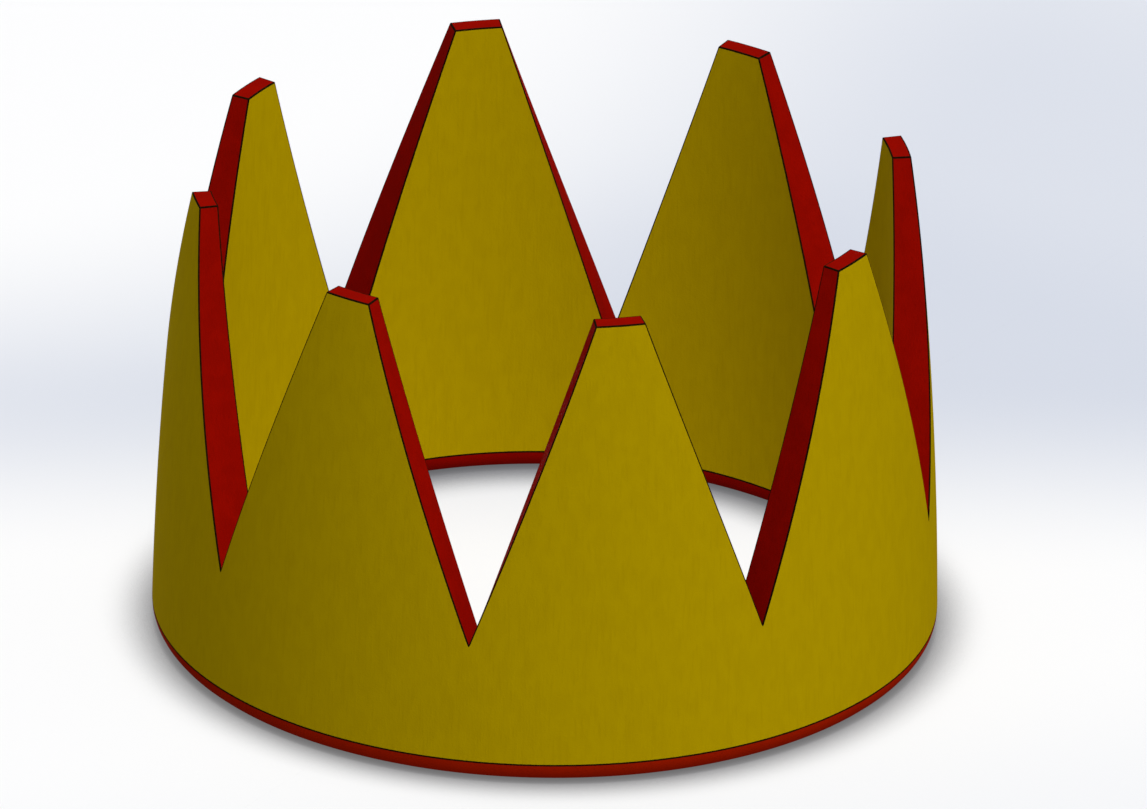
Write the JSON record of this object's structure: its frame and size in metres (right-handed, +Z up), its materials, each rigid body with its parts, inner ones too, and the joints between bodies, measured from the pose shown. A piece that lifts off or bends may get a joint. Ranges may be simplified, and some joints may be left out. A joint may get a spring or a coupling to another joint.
{
  "type": "paper crown",
  "caption": "Round crown of thick board, worn on the head: a plain band with tall blunt points above it, yellow on both faces and red on every cut edge.",
  "frame": {"origin": "middle of the foot, in the plane of the flat ring that the crown stands on", "axes": "+Z up along the crown's axis; +X through the middle point of the strip, so the strip's ends meet at -X; -Y is the side that the picture shows"},
  "size_m": [0.1999, 0.2, 0.125],
  "materials": {
    "crown_board": "matt yellow paper on the inner and outer faces, matt red on the cut edges, the tops and the rounded foot"
  },
  "bodies": {
    "root": {"crown": "crown_board"}
  },
  "joints": []
}
